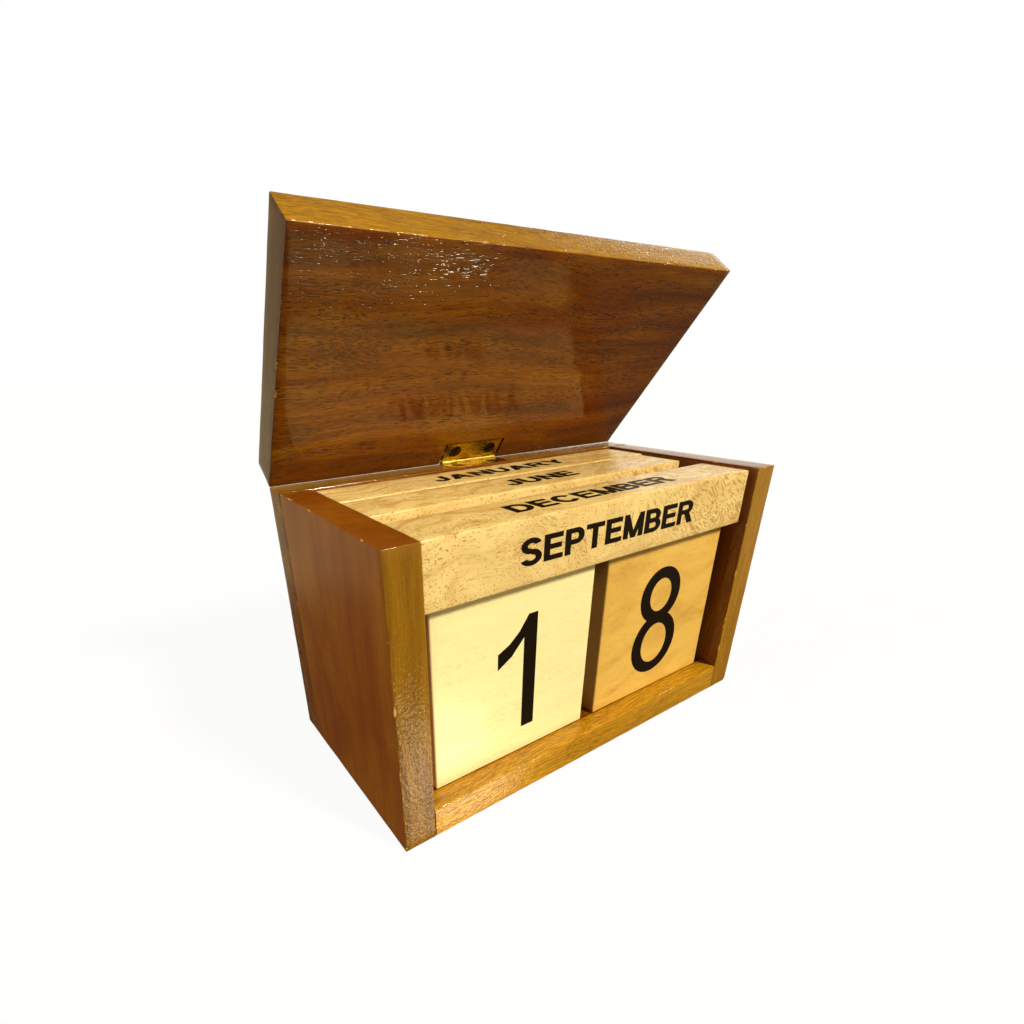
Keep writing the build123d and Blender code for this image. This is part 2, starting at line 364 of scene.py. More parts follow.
def pale_hardwood(
    name, base, offset=(0, 0, 0), figured=0.5, blotch=0.2, dashes=0.5, wave=0.0, ends=0.0
):
    """Pale close-grained hardwood under clear lacquer.

    Long figure, slow mottling and short brown dashes of open grain; figured, blotch and dashes
    say how strongly each shows, wave how far the figure wanders, in metres, and ends how far
    painted shade darkens the faces that look along X, where a cube's sides stand in shadow.
    """
    material, tree = new_material(name)
    straight = grain_coordinates(tree, "X", 0.0, offset)
    place = wandering(tree, straight, 30 * MM, wave) if wave else straight
    base = linear(base)
    deep = tinted(base, 0.5, 0.33, 0.14)
    warm = tinted(base, 1.0 - 0.22 * figured, 1.0 - 0.34 * figured, 1.0 - 0.55 * figured)
    figure = streaks(tree, place, 60 * MM, 2.6 * MM, 5.0, 0.4, 0.6)
    stops = [(0.36, warm), (0.54, base)]
    bands = add(tree, "ValToRGB", {"Fac": figure}, stops).outputs[0]
    flat_sawn = add(tree, "MapRange", {0: squareness(tree, "Z"), 3: 0.35}).outputs[0]
    cloud = streaks(tree, place, 24 * MM, 9 * MM, 3.0, 0.8)
    cloud = add(tree, "MapRange", {0: cloud, 1: 0.45, 2: 0.75, 4: blotch}).outputs[0]
    dash = open_pores(tree, place, 2.6 * MM, 0.3 * MM, 0.61)
    if wave:
        fleck = flame_figure(tree, straight)
        dash = add(tree, "Math", {0: dash, 1: fleck}, operation="MAXIMUM").outputs[0]
    depth = add(tree, "Math", {0: dash, 1: dashes}, operation="MULTIPLY").outputs[0]
    # Painted shade: the faces that look along X are darkened by ends, as on a cube side in shadow.
    painted_side_shade = {0: squareness(tree, "X"), 1: 0.5, 4: ends}
    painted_side_shade = add(tree, "MapRange", painted_side_shade).outputs[0]
    shade = layered(
        tree, base, (flat_sawn, bands), (cloud, deep), (depth, deep),
        (painted_side_shade, tinted(deep, 0.4, 0.35, 0.3)),
    )
    hollow = add(tree, "Math", {0: 0.0, 1: dash}, operation="SUBTRACT").outputs[0]
    return lacquered(material, place, shade, (hollow, 0.03 * MM), 0.6, 0.2, 0.03 * MM, 0.6)


def flame_figure(tree, place):
    """Short strokes that slant across the grain towards the right end, and specks at the left.

    The strokes lie in the face that they cross, so fronts and tops each have their own.
    """
    strokes = []
    for turn in ((0.0, math.radians(-40), 0.0), (0.0, 0.0, math.radians(40))):
        bent = wandering(tree, place, 14 * MM, 14 * MM)
        slanted = add(tree, "Mapping", {"Vector": bent, "Rotation": turn}).outputs[0]
        stroke = streaks(tree, slanted, 4.2 * MM, 0.7 * MM, 1.0, 0.1)
        strokes.append(add(tree, "MapRange", {0: stroke, 1: 0.53, 2: 0.64}).outputs[0])
    either = {0: squareness(tree, "Z"), 2: strokes[0], 3: strokes[1]}
    stroke = add(tree, "Mix", either).outputs[0]
    here = add(tree, "TexCoord").outputs["Object"]
    across = add(tree, "SeparateXYZ", {0: here}).outputs["X"]
    right = {0: across, 1: 4 * MM, 2: 38 * MM}
    right = add(tree, "MapRange", right, interpolation_type="SMOOTHSTEP").outputs[0]
    flame = add(tree, "Math", {0: stroke, 1: right}, operation="MULTIPLY").outputs[0]
    speck = streaks(tree, place, 0.8 * MM, 0.6 * MM, 1.0)
    patch = {0: streaks(tree, place, 14 * MM, 9 * MM), 1: 0.3, 2: 0.7, 3: 0.06, 4: -0.05}
    patch = add(tree, "MapRange", patch).outputs[0]
    speck = add(tree, "Math", {0: speck, 1: patch}, operation="SUBTRACT").outputs[0]
    speck = add(tree, "MapRange", {0: speck, 1: 0.62, 2: 0.7}).outputs[0]
    return add(tree, "Math", {0: flame, 1: speck}, operation="MAXIMUM").outputs[0]


def printing_ink():
    """Screen-printed black-brown ink under the lacquer: matt ink, glossy coat."""
    material, tree = new_material("printed_ink")
    place = grain_coordinates(tree, "X")
    thin = streaks(tree, place, 2.2 * MM, 0.35 * MM, 2.0)
    thin = add(tree, "MapRange", {0: thin, 1: 0.62, 2: 0.8, 4: 0.15}).outputs[0]
    ink = linear(colours().ink)
    shade = layered(tree, ink, (thin, tinted(ink, 5.0, 4.5, 4.0)))
    return lacquered(material, place, shade, (thin, 0.01 * MM), 0.6, 0.2, 0.02 * MM, 0.15)


def rolled_brass():
    """Rolled and tumbled brass sheet: soft scratches and slightly tarnished patches."""
    material, tree = new_material("rolled_brass")
    place = grain_coordinates(tree, "X")
    tarnish = streaks(tree, place, 5 * MM, 3 * MM, 3.0)
    brass = linear(colours().brass)
    stops = [(0.35, tinted(brass, 0.7, 0.6, 0.4)), (0.6, brass)]
    shade = add(tree, "ValToRGB", {"Fac": tarnish}, stops).outputs[0]
    scratch = streaks(tree, place, 3 * MM, 0.12 * MM, 2.0)
    rough = {0: scratch, 1: 0.35, 2: 0.7, 3: 0.18, 4: 0.34}
    rough = add(tree, "MapRange", rough).outputs[0]
    bump = {"Height": scratch, "Distance": 0.01 * MM}
    normal = add(tree, "Bump", bump).outputs["Normal"]
    surface = {"Base Color": shade, "Metallic": 1.0, "Roughness": rough, "Normal": normal}
    return finished(material, "BsdfPrincipled", surface)


def bronzed_steel(name, code, roughness):
    """Small steel hardware: dark chemical bronzing, or plain drawn wire."""
    material, tree = new_material(name)
    place = grain_coordinates(tree, "X")
    patch = streaks(tree, place, 1.2 * MM, 0.8 * MM, 2.0)
    base = linear(code)
    stops = [(0.35, tinted(base, 0.5, 0.5, 0.5)), (0.65, base)]
    shade = add(tree, "ValToRGB", {"Fac": patch}, stops).outputs[0]
    rough = {0: patch, 1: 0.3, 2: 0.7, 3: roughness, 4: roughness + 0.15}
    rough = add(tree, "MapRange", rough).outputs[0]
    surface = {"Base Color": shade, "Metallic": 1.0, "Roughness": rough}
    return finished(material, "BsdfPrincipled", surface)


def light_table():
    """Opal acrylic, mostly clear to the light behind it: it keeps only soft, weak shadows."""
    material, tree = new_material("opal_acrylic")
    place = grain_coordinates(tree, "X")
    tooth = streaks(tree, place, 2 * MM, 2 * MM, 2.0)
    bump = {"Height": tooth, "Distance": 0.01 * MM}
    normal = add(tree, "Bump", bump).outputs["Normal"]
    matt = {"Color": linear(colours().floor), "Normal": normal}
    matt = add(tree, "BsdfDiffuse", matt).outputs["BSDF"]
    clear = add(tree, "BsdfTransparent").outputs["BSDF"]
    body = bpy.context.scene.calendar_stage.floor_body
    return finished(material, "MixShader", {0: body, 1: clear, 2: matt})


# ---- modelling helpers ----


def deselect_all():
    if bpy.context.object and bpy.context.object.mode != "OBJECT":
        bpy.ops.object.mode_set(mode="OBJECT")
    bpy.ops.object.select_all(action="DESELECT")


def make_active(piece):
    deselect_all()
    piece.select_set(True)
    bpy.context.view_layer.objects.active = piece


def block(name, low, high):
    """A box between two corners, its object at the origin."""
    deselect_all()
    bpy.ops.mesh.primitive_cube_add(size=1.0, location=(Vector(low) + Vector(high)) / 2)
    piece = bpy.context.object
    piece.name = name
    piece.data.name = name
    piece.scale = Vector(high) - Vector(low)
    bpy.ops.object.transform_apply(location=True, rotation=True, scale=True)
    return piece


def round_edges(piece, wanted, width, segments=3):
    """Rounds the edges whose middle the wanted test accepts."""
    make_active(piece)
    bpy.ops.object.mode_set(mode="EDIT")
    bpy.ops.mesh.select_mode(type="EDGE")
    bpy.ops.mesh.select_all(action="DESELECT")
    mesh = bmesh.from_edit_mesh(piece.data)
    for edge in mesh.edges:
        first, second = (v.co for v in edge.verts)
        edge.select_set(wanted((first + second) / 2))
    bmesh.update_edit_mesh(piece.data)
    bpy.ops.mesh.bevel(offset=width, segments=segments, profile=0.5, affect="EDGES")
    bpy.ops.object.mode_set(mode="OBJECT")


def slice_evenly(piece, step):
    """Cuts the whole mesh across X, Y and Z about every step, so that its faces can waver."""
    make_active(piece)
    corners = [Vector(c) for c in piece.bound_box]
    low, high = corners[0], corners[6]
    bpy.ops.object.mode_set(mode="EDIT")
    for axis in range(3):
        count = max(1, round((high[axis] - low[axis]) / step))
        normal = Vector((0, 0, 0))
        normal[axis] = 1.0
        for n in range(1, count):
            point = low + (high - low) * (n / count)
            bpy.ops.mesh.select_all(action="SELECT")
            bpy.ops.mesh.bisect(plane_co=point, plane_no=normal)
    bpy.ops.object.mode_set(mode="OBJECT")


def edge_distances(piece, low, high, hidden=()):
    """Stores each point's distance, in millimetres, to the nearest worn edge of its block.

    hidden lists faces, such as '-X', that butt against another board and so don't wear.
    """
    attribute = piece.data.attributes.new("edge", "FLOAT", "POINT")
    for index, vertex in enumerate(piece.data.vertices):
        gaps = []
        for axis in range(3):
            below = vertex.co[axis] - low[axis] + (1.0 if f"-{'XYZ'[axis]}" in hidden else 0.0)
            above = high[axis] - vertex.co[axis] + (1.0 if f"+{'XYZ'[axis]}" in hidden else 0.0)
            gaps.append(min(below, above))
        gaps.sort()
        attribute.data[index].value = math.hypot(gaps[0], gaps[1]) / MM


def extent(points):
    """The low and high corners of the box round some points."""
    low = Vector([min(p[k] for p in points) for k in range(3)])
    return low, Vector([max(p[k] for p in points) for k in range(3)])


def waver_edges(piece, depth, reach):
    """Lets the points near an edge wander inwards, as hand sanding leaves them.

    reach is in millimetres. The two edges that meet along the hinge stay straight.
    """
    straight_by_hinge, wave_length = 3 * MM, 9 * MM
    group = piece.vertex_groups.new(name="near_edge")
    values = piece.data.attributes["edge"].data
    for vertex in piece.data.vertices:
        weight = max(0.0, 1.0 - values[vertex.index].value / reach)
        to_hinge = (vertex.co - HINGE_POINT).yz.length
        if weight > 0.0 and to_hinge > straight_by_hinge:
            group.add([vertex.index], weight, "REPLACE")
    texture = bpy.data.textures.new(f"{piece.name}_waver", "CLOUDS")
    texture.noise_scale = wave_length
    texture.noise_depth = 3
    make_active(piece)
    modifier = piece.modifiers.new("Waver", "DISPLACE")
    modifier.texture = texture
    modifier.texture_coords = "LOCAL"
    modifier.vertex_group = group.name
    modifier.mid_level = 1.0
    modifier.strength = depth
    bpy.ops.object.modifier_apply(modifier=modifier.name)
    piece.vertex_groups.clear()


def combine(piece, other, kind):
    """Welds another solid to a piece, or takes it away, and removes the other."""
    make_active(piece)
    modifier = piece.modifiers.new("Combine", "BOOLEAN")
    modifier.operation = kind
    modifier.solver = "EXACT"
    modifier.object = other
    bpy.ops.object.modifier_apply(modifier=modifier.name)
    bpy.data.objects.remove(other)


def shade_by_angle(piece, degrees=35):
    make_active(piece)
    bpy.ops.object.shade_smooth_by_angle(angle=math.radians(degrees))


def store_facing(piece):
    """Stores which way a finished piece faces at each corner, for its material to read."""
    attribute = piece.data.attributes.new("facing", "FLOAT_VECTOR", "CORNER")
    for spot, corner in zip(attribute.data, piece.data.corner_normals):
        spot.vector = corner.vector


def dress(piece, material, body, slot, *nodes):
    """Gives a finished piece its material, the body it rides on and the nodes it replaces."""
    piece.data.materials.clear()
    piece.data.materials.append(material)
    store_facing(piece)
    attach(piece, body)
    if nodes:
        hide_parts(*nodes)
    return piece


def coat_node(name, material):
    """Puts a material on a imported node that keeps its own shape."""
    node = frame["nodes"][name]
    node.data.materials.clear()
    node.data.materials.append(material)


# ---- boards ----


def hinge_cutters(node, closed_turn=None):
    """Cutters for one hinge leaf's mortise and for the barrel, in the board's flat place."""
    points = [v.co.copy() for v in frame["nodes"][node].data.vertices]
    if closed_turn:
        points = [closed_turn @ p for p in points]
    low, high = extent(points)
    gap, end_gap, barrel_round = 0.4 * MM, 1.1 * MM, 1.9 * MM
    # The mortise reaches the leaf's far face on the board's side and just clears the other.
    deep, clear = 1.1 * MM, 0.5 * MM
    below, above = (deep, clear) if closed_turn is None else (clear, deep)
    mortise = block(
        "mortise_cutter",
        (low.x - end_gap, low.y - gap, HINGE_POINT.z - below),
        (high.x + end_gap, high.y + 3 * gap, HINGE_POINT.z + above),
    )
    deselect_all()
    bpy.ops.mesh.primitive_cylinder_add(
        vertices=48, radius=barrel_round, depth=high.x - low.x + 2 * end_gap,
        location=((low.x + high.x) / 2, HINGE_POINT.y, HINGE_POINT.z), rotation=(0, math.pi / 2, 0),
    )
    relief = bpy.context.object
    bpy.ops.object.transform_apply(location=True, rotation=True, scale=True)
    return [mortise, relief]


def faces_at(point, low, high):
    """The block faces, such as '-X', that a point lies on."""
    near = 0.01 * MM
    found = [f"-{'XYZ'[k]}" for k in range(3) if abs(point[k] - low[k]) < near]
    return frozenset(found + [f"+{'XYZ'[k]}" for k in range(3) if abs(point[k] - high[k]) < near])


def board(name, low, high, glued=(), special=None, sawn=(0, -1, 0), lip=0.0):
    """A sanded board: least rounding on its glued edges, more on the others.

    glued lists the faces that meet another board; special gives the width of single edges,
    each named by its two faces; sawn is the way that its palest narrow face looks, and lip how
    far the pale finish reaches over the top.
    """
    piece = block(f"{name}_wood", low, high)
    size = sizes()
    special = special or {}

    def width_of(middle):
        faces = faces_at(middle, low, high)
        if len(faces) != 2:
            return 0.0
        if faces in special:
            return special[faces]
        return size.joint_round if faces & set(glued) else size.board_round

    for width in sorted({size.joint_round, size.board_round, *special.values()}, reverse=True):
        segments = 1 if width == size.joint_round else 3
        round_edges(piece, lambda middle: width_of(middle) == width, width, segments)
    slice_evenly(piece, size.mesh_step)
    edge_distances(piece, low, high, glued)
    mark_sawn_edge(piece, Vector(sawn), lip)
    waver_edges(piece, size.waver, 2.5)
    return piece


def mark_sawn_edge(piece, facing, lip=0.0):
    """Marks the narrow faces that took less stain than the flat of the board.

    lip is how far back from them the board's top is pale too.
    """
    square_enough = 0.6
    nearest = min(corner.co.y for corner in piece.data.vertices)
    sawn = piece.data.attributes.new("sawn", "FLOAT", "FACE")
    for face in piece.data.polygons:
        in_lip = face.normal.z > square_enough and face.center.y < nearest + lip
        pale = in_lip or face.normal.dot(facing) > square_enough
        sawn.data[face.index].value = 1.0 if pale else 0.0


class CALENDAR_OT_box(bpy.types.Operator):
    """Model the four glued boards of the box"""

    bl_idname = "calendar.box"
    bl_label = "Box boards"

    def execute(self, context):
        size, pale_lip = sizes(), 7 * MM
        special = {
            "right_side_panel": {frozenset(("+X", "-Z")): size.worn_round},
            "back_panel": {frozenset(("+Y", "+Z")): size.hinge_round},
        }
        # Where each board was cut from, then how strong its figure, pores, coat, gold sawn edge
        # and dark end grain are.
        looks = {
            "bottom_panel": ((0.31, 0.2, 0.0), 1.0, 0.8, 0.9, 0.85, 0.3),
            "left_side_panel": ((0.07, 0.2, 0.0), 0.35, 0.0, 0.65, 0.0, 0.1),
            "right_side_panel": ((0.53, 0.2, 0.0), 0.6, 0.3, 0.7, 0.3, 0.1),
            "back_panel": ((0.0, 0.2, 0.0), 0.9, 0.5, 0.8, 0.1, 0.3),
        }
        for name in BOX_BOARDS:
            low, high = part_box(name)
            high.z += size.hinge_reach if name == "back_panel" else 0.0
            sawn = (0, 0, 1) if name == "back_panel" else (0, -1, 0)
            lip = pale_lip if name == "bottom_panel" else 0.0
            piece = board(name, low, high, GLUED[name], special.get(name), sawn, lip)
            if name == "back_panel":
                for cutter in hinge_cutters("hinge_leaf_box"):
                    combine(piece, cutter, "DIFFERENCE")
            shade_by_angle(piece)
            material = stained_hardwood(f"stained_{name}", GRAIN[name], 0.0, *looks[name])
            dress(piece, material, "box", "stained_wood", name)
        return {"FINISHED"}


class CALENDAR_OT_lid(bpy.types.Operator):
    """Model the lid board, cut it for its hinge leaf and swing it open"""

    bl_idname = "calendar.lid"
    bl_label = "Lid"

    def execute(self, context):
        # Built closed, then turned about the hinge as the frame holds it.
        opened = Matrix.Translation(HINGE_POINT) @ Matrix.Rotation(-LID_ANGLE, 4, "X")
        opened = opened @ Matrix.Translation(-HINGE_POINT)
        closed = opened.inverted()
        low, high = extent([closed @ v.co for v in frame["nodes"]["lid_panel"].data.vertices])
        low.z -= sizes().hinge_reach
        special = {frozenset(("+Y", "-Z")): sizes().hinge_round}
        piece = board("lid_panel", low, high, (), special)
        for cutter in hinge_cutters("hinge_leaf_lid", closed):
            combine(piece, cutter, "DIFFERENCE")
        piece.data.transform(opened)
        piece.data.update()
        shade_by_angle(piece)
        material = stained_hardwood(
            "stained_lid_panel", "X", LID_ANGLE, (0.9, 0.0, 0.1), 1.0, 0.8, 1.0, 0.45, 0.75
        )
        dress(piece, material, "lid", "stained_wood", "lid_panel")
        return {"FINISHED"}


# ---- cubes and bars ----


def body_name(node):
    """cube_left for number_cube_left, bar_front for month_bar_front."""
    return node.split("_", 1)[1]


def sanded_block(name, rounding):
    """A loose block of a node's size with every edge rounded and softly wandering."""
    low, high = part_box(name)
    piece = block(f"{name}_wood", low, high)
    round_edges(piece, lambda middle: True, rounding)
    slice_evenly(piece, sizes().mesh_step)
    edge_distances(piece, low, high)
    waver_edges(piece, sizes().waver * 0.6, 1.5)
    shade_by_angle(piece)
    return piece


class CALENDAR_OT_cubes(bpy.types.Operator):
    """Model the two number cubes"""

    bl_idname = "calendar.cubes"
    bl_label = "Number cubes"

    def execute(self, context):
        tint = colours()
        # Wood, colour and where each cube was cut from, then how strong its figure and blotches
        # are and how far painted shade darkens its left and right sides, which stand in shadow.
        looks = {
            CUBES[0]: ("limed_rubberwood", tint.cube_pale, (0.2, 0.4, 0.0), 0.25, 0.05, 0.0),
            CUBES[1]: ("amber_rubberwood", tint.cube_amber, (0.6, 0.1, 0.3), 0.4, 0.4, 0.9),
        }
        for name in CUBES:
            piece = sanded_block(name, sizes().cube_round)
            label, base, shift, figured, blotch, ends = looks[name]
            material = pale_hardwood(label, base, shift, figured, blotch, 0.25, 0.0, ends)
            dress(piece, material, body_name(name), WOOD_SLOTS[name], name)
        return {"FINISHED"}


class CALENDAR_OT_bars(bpy.types.Operator):
    """Model the three month bars"""

    bl_idname = "calendar.bars"
    bl_label = "Month bars"

    def execute(self, context):
        base = colours().bar_cream
        for index, name in enumerate(BARS):
            piece = sanded_block(name, sizes().bar_round)
            shift = (0.37 * index, 0.21 * index, 0.13 * index)
            label = f"{name.split('_')[-1]}_bar_rubberwood"
            material = pale_hardwood(label, base, shift, 1.0, 0.35, 0.8, 30 * MM)
            dress(piece, material, body_name(name), WOOD_SLOTS[name], name)
        return {"FINISHED"}


# ---- lettering ----

# Faces of a block: outward normal and the way its writing runs.
FACES = {
    "front": (Vector((0, -1, 0)), Vector((1, 0, 0))),
    "back": (Vector((0, 1, 0)), Vector((-1, 0, 0))),
    "top": (Vector((0, 0, 1)), Vector((1, 0, 0))),
    "bottom": (Vector((0, 0, -1)), Vector((1, 0, 0))),
    "left": (Vector((-1, 0, 0)), Vector((0, -1, 0))),
    "right": (Vector((1, 0, 0)), Vector((0, 1, 0))),
}
CUBE_DIGITS = {
    "number_cube_left": dict(front="1", right="2", back="3", left="0", top="4", bottom="5"),
    "number_cube_right": dict(front="8", right="0", back="1", left="7", top="2", bottom="6"),
}
BAR_MONTHS = {
    "month_bar_front": dict(front="SEPTEMBER", top="DECEMBER", back="NOVEMBER", bottom="OCTOBER"),
    "month_bar_middle": dict(front="MAY", top="JUNE", back="JULY", bottom="AUGUST"),
    "month_bar_rear": dict(front="FEBRUARY", top="JANUARY", back="APRIL", bottom="MARCH"),
}
# Where the printer's stencil slipped off a face's middle, along and across the writing.
PRINT_SLIPS = {
    ("number_cube_left", "front"): (-0.3 * MM, -1.0 * MM),
    ("number_cube_right", "front"): (-0.5 * MM, -1.6 * MM),
    ("month_bar_middle", "top"): (2.5 * MM, 0.0),
    ("month_bar_rear", "top"): (0.5 * MM, 0.0),
}


def box_outline(x0, y0, x1, y1):
    return [(x0, y0), (x1, y0), (x1, y1), (x0, y1)]


def slant_outline(x0, y0, x1, y1, width):
    """A slanted stroke cut level at both ends; x0 and x1 are its left edge at y0 and y1."""
    return [(x0, y0), (x0 + width, y0), (x1 + width, y1), (x1, y1)]


def bow_outline(centre, radii, start, end, pen):
    """Part of an elliptical ring; pen is its thickness across and up."""
    steps = max(6, round(abs(end - start) / 9))
    turns = [math.radians(start + (end - start) * n / steps) for n in range(steps + 1)]
    outer = [(centre[0] + radii[0] * math.cos(a), centre[1] + radii[1] * math.sin(a))
             for a in turns]
    inner = [(centre[0] + (radii[0] - pen[0]) * math.cos(a),
              centre[1] + (radii[1] - pen[1]) * math.sin(a)) for a in turns]
    return outer + inner[::-1]


def ring_outlines(centre, radii, pen):
    """A whole elliptical ring as two halves that overlap a little."""
    return [bow_outline(centre, radii, -2, 182, pen), bow_outline(centre, radii, 178, 362, pen)]


CAPITAL_WIDTHS = dict(
    A=0.98, B=0.86, C=0.95, D=0.9, E=0.8, F=0.73, G=0.99, H=0.87, I=0.25, J=0.68, L=0.73,
    M=1.02, N=0.87, O=1.02, P=0.83, R=0.92, S=0.85, T=0.84, U=0.88, V=0.95, Y=0.95,
)
DIGIT_WIDTHS = {"1": 0.372, "4": 0.66, "7": 0.6}


def bold_capital(letter):
    """Outlines of one bold grotesque capital, one unit tall, and its width.

    s is how wide an upright stroke is and t how tall a level one.
    """
    w = CAPITAL_WIDTHS[letter]
    s, t = pen = 0.25, 0.195
    mid = 0.515
    half_low, half_high = (mid + t / 2) / 2, (1 - mid + t / 2) / 2
    stem, far_stem = box_outline(0, 0, s, 1), box_outline(w - s, 0, w, 1)
    bar = box_outline(s / 2, mid - t / 2, w * 0.92, mid + t / 2)
    shapes = []
    if letter == "A":
        top, leg = w / 2 - s * 0.57, s * 1.14
        shapes = [slant_outline(0, 0, top, 1, leg), slant_outline(w - leg, 0, top, 1, leg),
                  box_outline(0.2, 0.2, w - 0.2, 0.2 + t)]
    elif letter in "BPR":
        low = {"B": mid - t / 2, "P": 0.37, "R": 0.41}[letter]
        bend = w * (0.94 if letter != "P" else 1.0) - 0.34
        shapes = [stem, box_outline(s / 2, 1 - t, bend, 1),
                  bow_outline((bend, (1 + low) / 2), (0.34, (1 - low) / 2), -92, 92, pen),
                  box_outline(s / 2, low, bend, low + t)]
        if letter == "B":
            shapes += [bow_outline((w - 0.36, half_low), (0.36, half_low), -92, 92, pen),
                       box_outline(s / 2, 0, w - 0.36, t)]
        if letter == "R":
            shapes.append(slant_outline(w - s * 1.15, 0, 0.36, low + t / 2, s * 1.2))
    elif letter == "O":
        shapes = ring_outlines((w / 2, 0.5), (w / 2, 0.515), pen)
    elif letter in "CG":
        end = 325 if letter == "C" else 318
        shapes = [bow_outline((w / 2, 0.5), (w / 2, 0.515), 35, end, pen)]
        if letter == "G":
            shapes += [box_outline(w * 0.52, 0.37, w, 0.37 + t),
                       box_outline(w - s, 0.13, w, 0.37 + t / 2)]
    elif letter == "D":
        shapes = [stem, box_outline(s / 2, 1 - t, 0.4, 1), box_outline(s / 2, 0, 0.4, t),
                  bow_outline((0.4, 0.5), (w - 0.4, 0.5), -91, 91, pen)]
    elif letter == "S":
        shapes = [bow_outline((w / 2, 1.015 - half_high), (w * 0.48, half_high), 18, 272, pen),
                  bow_outline((w / 2, half_low - 0.015), (w * 0.5, half_low), -162, 92, pen)]
    elif letter in "EF":
        shapes = [stem, box_outline(s / 2, 1 - t, w * 0.98, 1), bar]
    elif letter in "LI":
        shapes = [stem]
    elif letter == "H":
        shapes = [stem, far_stem, box_outline(s / 2, mid - t / 2, w - s / 2, mid + t / 2)]
    elif letter in "JU":
        bend = w / 2 - 0.02
        shapes = [box_outline(w - s, bend, w, 1),
                  bow_outline((w / 2, bend), (w / 2, bend + 0.015), 179, 361, pen)]
        if letter == "U":
            shapes.append(box_outline(0, bend, s, 1))
    elif letter == "M":
        foot, leg = w / 2 - s * 0.47, s * 0.94
        shapes = [stem, far_stem, slant_outline(foot, 0, 0, 1, leg),
                  slant_outline(foot, 0, w - leg, 1, leg)]
    elif letter == "N":
        shapes = [stem, far_stem, slant_outline(w - s * 1.02, 0, 0.02 * s, 1, s)]
    elif letter == "T":
        shapes = [box_outline(0, 1 - t, w, 1),
                  box_outline((w - s) / 2, 0, (w + s) / 2, 1 - t / 2)]
    elif letter in "VY":
        fork = 0.0 if letter == "V" else 0.36
        foot, arm = w / 2 - s * 0.55, s * 1.12
        shapes = [slant_outline(foot, fork, 0, 1, arm), slant_outline(foot, fork, w - arm, 1, arm)]
        if letter == "Y":
            shapes.append(box_outline((w - s) / 2, 0, (w + s) / 2, fork + 0.08))
    if letter in "EL":
        shapes.append(box_outline(s / 2, 0, w, t))
    return shapes, w


def plain_digit(digit):
    """Outlines of one light grotesque number, one unit tall, and its width."""
    s, t = pen = 0.127, 0.105
    w = DIGIT_WIDTHS.get(digit, 0.61)
    flag = [(0, 0.611), (0, 0.743), (0.11, 0.8), (0.2, 0.88), (0.285, 1.0), (w, 1.0)]
    shapes = {
        "0": ring_outlines((w / 2, 0.5), (w / 2, 0.51), pen),
        "1": [flag + [(w, 0), (0.247, 0), (0.247, 0.82), (0.13, 0.69)]],
        "2": [bow_outline((w / 2, 0.7), (w / 2, 0.31), -38, 168, pen),
              slant_outline(0.0, 0.02, 0.425, 0.585, s * 1.36), box_outline(0, 0, w, t * 1.1)],
        "3": [bow_outline((0.29, 0.757), (0.27, 0.253), -92, 165, pen),
              bow_outline((0.3, 0.295), (0.31, 0.305), -165, 92, pen)],
        "4": [box_outline(0.4, 0, 0.4 + s, 1), box_outline(0, 0.23, w, 0.23 + t),
              slant_outline(0, 0.24, 0.4, 1, s)],
        "5": [box_outline(0.1, 1 - t, 0.57, 1), slant_outline(0.02, 0.47, 0.1, 1, s),
              bow_outline((0.29, 0.325), (0.32, 0.335), -162, 142, pen)],
        "6": [*ring_outlines((w / 2, 0.32), (w / 2, 0.33), pen),
              bow_outline((0.35, 0.5), (0.35, 0.51), 48, 196, pen)],
        "7": [box_outline(0, 1 - t, w, 1), slant_outline(0.12, 0, 0.46, 1 - t / 2, s)],
        "8": [*ring_outlines((w / 2, 0.765), (0.272, 0.265), pen),
              *ring_outlines((w / 2, 0.277), (w / 2, 0.307), pen)],
    }
    return shapes[digit], w


STENCIL_DEPTH = 0.04


def stencil(sign, drawn):
    """One drawn sign as a solid, its strokes welded from thin slabs, with its width."""
    shapes, width = drawn
    slabs = []
    for outline in shapes:
        deselect_all()
        bpy.ops.mesh.primitive_circle_add(vertices=len(outline), fill_type="NGON")
        slab = bpy.context.object
        for vertex, (x, y) in zip(slab.data.vertices, outline):
            vertex.co = (x, y, 0.0)
        bpy.ops.object.mode_set(mode="EDIT")
        bpy.ops.mesh.select_all(action="SELECT")
        bpy.ops.mesh.extrude_region_move(
            TRANSFORM_OT_translate={"value": (0, 0, STENCIL_DEPTH)}
        )
        bpy.ops.mesh.select_all(action="SELECT")
        bpy.ops.mesh.normals_make_consistent(inside=False)
        bpy.ops.object.mode_set(mode="OBJECT")
        slabs.append(slab)
    letter = slabs[0]
    letter.name = f"stencil_{sign}"
    for slab in slabs[1:]:
        combine(letter, slab, "UNION")
    return letter, width


def printed_word(word, letters, gap, height, widen):
    """Copies of the stencilled letters in a row, centred on the origin in X and Y."""
    made = []
    pen = 0.0
    for sign in word:
        master, width = letters[sign]
        copy = master.copy()
        copy.data = master.data.copy()
        bpy.context.scene.collection.objects.link(copy)
        copy.data.transform(Matrix.Translation((pen, 0, 0)))
        made.append(copy)
        pen += width + gap
    whole = joined(made, "word") if len(made) > 1 else made[0]
    middle = Matrix.Translation((-(pen - gap) / 2, -0.5, -STENCIL_DEPTH / 2))
    flat = sizes().print_height * 1.5 / STENCIL_DEPTH
    whole.data.transform(Matrix.Diagonal((height * widen, height, flat, 1.0)) @ middle)
    return whole


def place_on_face(word, node, face):
    """Turns a flat word onto a node's face, most of its thickness proud of the wood."""
    low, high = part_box(node)
    out, right = FACES[face]
    up = out.cross(right)
    half = (high - low) / 2
    reach = sum(abs(out[k]) * half[k] for k in range(3))
    centre = (low + high) / 2 + out * (reach + sizes().print_height / 4)
    slip = PRINT_SLIPS.get((node, face), (0.0, 0.0))
    centre += right * slip[0] + up * slip[1]
    turn = Matrix((right, up, out)).transposed().to_4x4()
    word.data.transform(Matrix.Translation(centre) @ turn)
    return word


